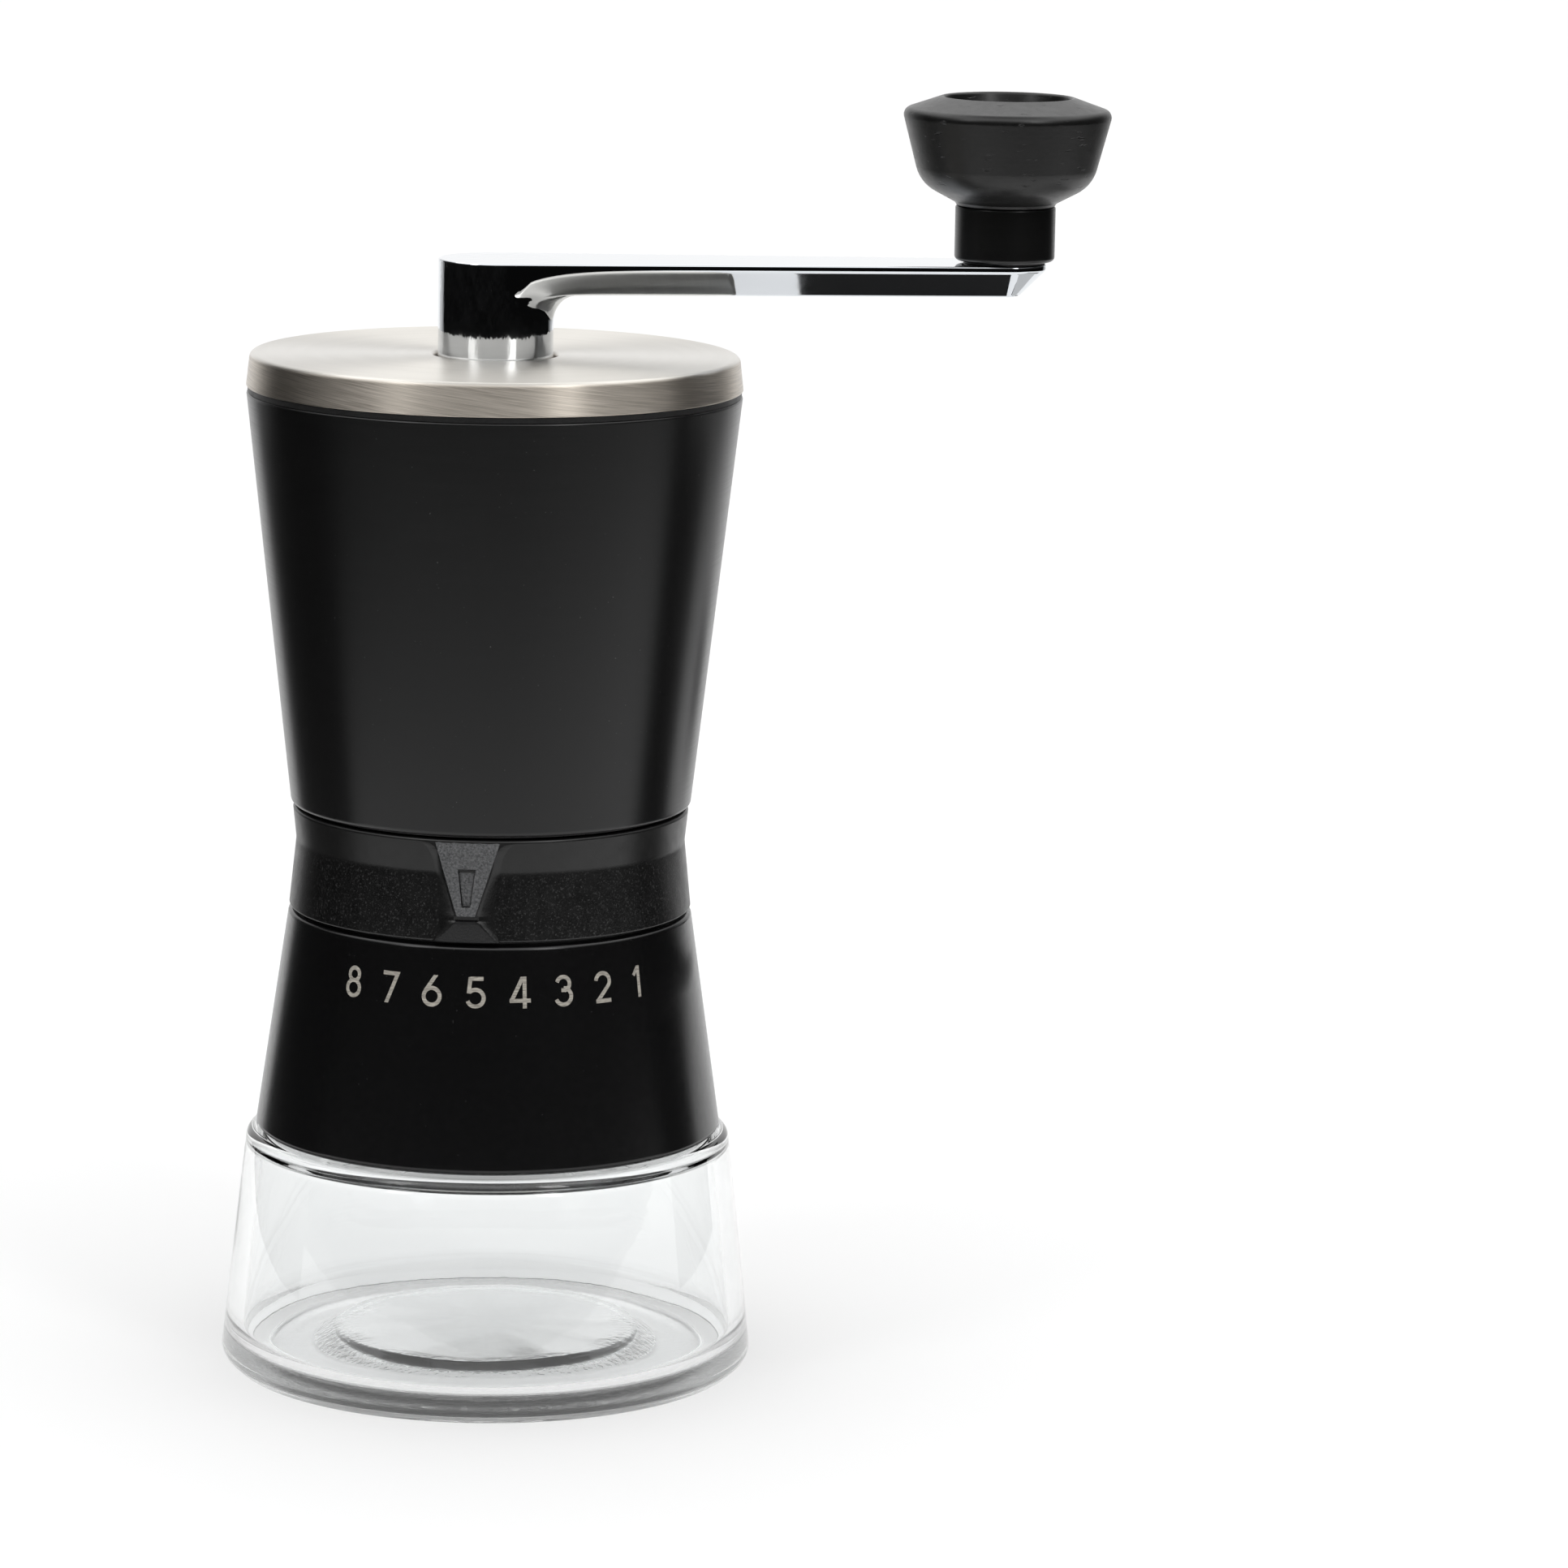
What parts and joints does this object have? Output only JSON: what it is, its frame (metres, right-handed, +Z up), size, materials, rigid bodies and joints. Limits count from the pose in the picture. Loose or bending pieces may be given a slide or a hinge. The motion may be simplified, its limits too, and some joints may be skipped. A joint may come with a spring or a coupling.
{
  "type": "hand crank coffee grinder",
  "caption": "Hand coffee grinder with a glass catch jar, numbered skirt, grind setting ring, tapered hopper, steel lid and a polished crank with a turned knob.",
  "frame": {"origin": "centre of the jar's flat foot ring, on the surface the grinder stands on", "axes": "+Z up along the drive shaft, crank arm along +X at rest, setting numbers facing -Y"},
  "size_m": [0.1422, 0.087, 0.2086],
  "materials": {
    "jar_glass": "clear",
    "silicone": "matte",
    "black_coated_metal": "satin",
    "black_plastic": "matte",
    "screw_steel": "satin",
    "brushed_black_metal": "brushed satin",
    "bearing_plastic": "satin",
    "grained_black_plastic": "fine grain",
    "dark_plastic": "matte",
    "ceramic": "matte",
    "shaft_steel": "ground",
    "polished_chrome": "mirror",
    "black_lacquered_wood": "lacquered",
    "smooth_black_plastic": "satin",
    "turned_steel": "concentric brushed"
  },
  "bodies": {
    "jar": {"glass_jar": "jar_glass"},
    "seal": {"jar_seal": "silicone"},
    "mill": {"numbered_skirt": "black_coated_metal", "jar_collar": "black_plastic", "chassis": "black_plastic", "collar_screws": "screw_steel", "hopper_screws": "screw_steel", "hopper_shell": "brushed_black_metal", "hopper_liner": "black_plastic", "shaft_bridge": "black_plastic", "upper_bush": "bearing_plastic", "lower_bush": "bearing_plastic", "click_ball": "screw_steel", "click_spring": "screw_steel"},
    "ring": {"setting_ring": "grained_black_plastic", "ring_keys": "screw_steel"},
    "carrier": {"burr_carrier": "dark_plastic", "outer_burr": "ceramic", "burr_retainer": "screw_steel", "retainer_screws": "screw_steel"},
    "shaft": {"drive_shaft": "shaft_steel", "inner_burr": "ceramic", "burr_driver": "dark_plastic", "burr_washer": "screw_steel", "burr_nut": "screw_steel", "burr_spring": "screw_steel", "thrust_washer": "bearing_plastic", "shaft_clip": "screw_steel"},
    "crank": {"crank_arm": "polished_chrome", "hub_socket": "dark_plastic", "knob_pin": "shaft_steel", "knob_washer": "dark_plastic", "knob_screw": "screw_steel"},
    "knob": {"knob_bowl": "black_lacquered_wood", "knob_neck": "smooth_black_plastic", "knob_bush": "bearing_plastic"},
    "lid": {"lid_cover": "turned_steel", "lid_insert": "black_plastic", "lid_gasket": "silicone"}
  },
  "joints": [
    {"name": "mill_rise", "type": "slide", "parent": "jar", "child": "seal", "axis": [0, 0, 1], "range_m": [0, 0.0101]},
    {"name": "mill_turn", "type": "hinge", "parent": "seal", "child": "mill", "pos_m": [0, 0, 0.05], "axis": [0, 0, 1], "range_deg": [0, 720]},
    {"name": "grade_turn", "type": "hinge", "parent": "mill", "child": "ring", "pos_m": [0, 0, 0.085], "axis": [0, 0, 1], "range_deg": [-33, 51]},
    {"name": "burr_travel", "type": "slide", "parent": "ring", "child": "carrier", "axis": [0, 0, 1], "range_m": [-0.0006, 0.0004]},
    {"name": "crank_turn", "type": "hinge", "parent": "mill", "child": "shaft", "pos_m": [0, 0, 0.1], "axis": [0, 0, 1], "continuous": true},
    {"name": "crank_lift", "type": "slide", "parent": "shaft", "child": "crank", "axis": [0, 0, 1], "range_m": [0, 0.08]},
    {"name": "knob_spin", "type": "hinge", "parent": "crank", "child": "knob", "pos_m": [0.082, 0, 0.19], "axis": [0, 0, 1], "continuous": true},
    {"name": "lid_lift", "type": "slide", "parent": "mill", "child": "lid", "axis": [0, 0, 1], "range_m": [0, 0.04]}
  ],
  "couplings": [
    {"joint": "mill_rise", "follows": "mill_turn", "m_per_rad": 0.00079577},
    {"joint": "burr_travel", "follows": "grade_turn", "m_per_rad": -0.00063662},
    {"joint": "lid_lift", "follows": "crank_lift", "ratio": 0.5}
  ]
}
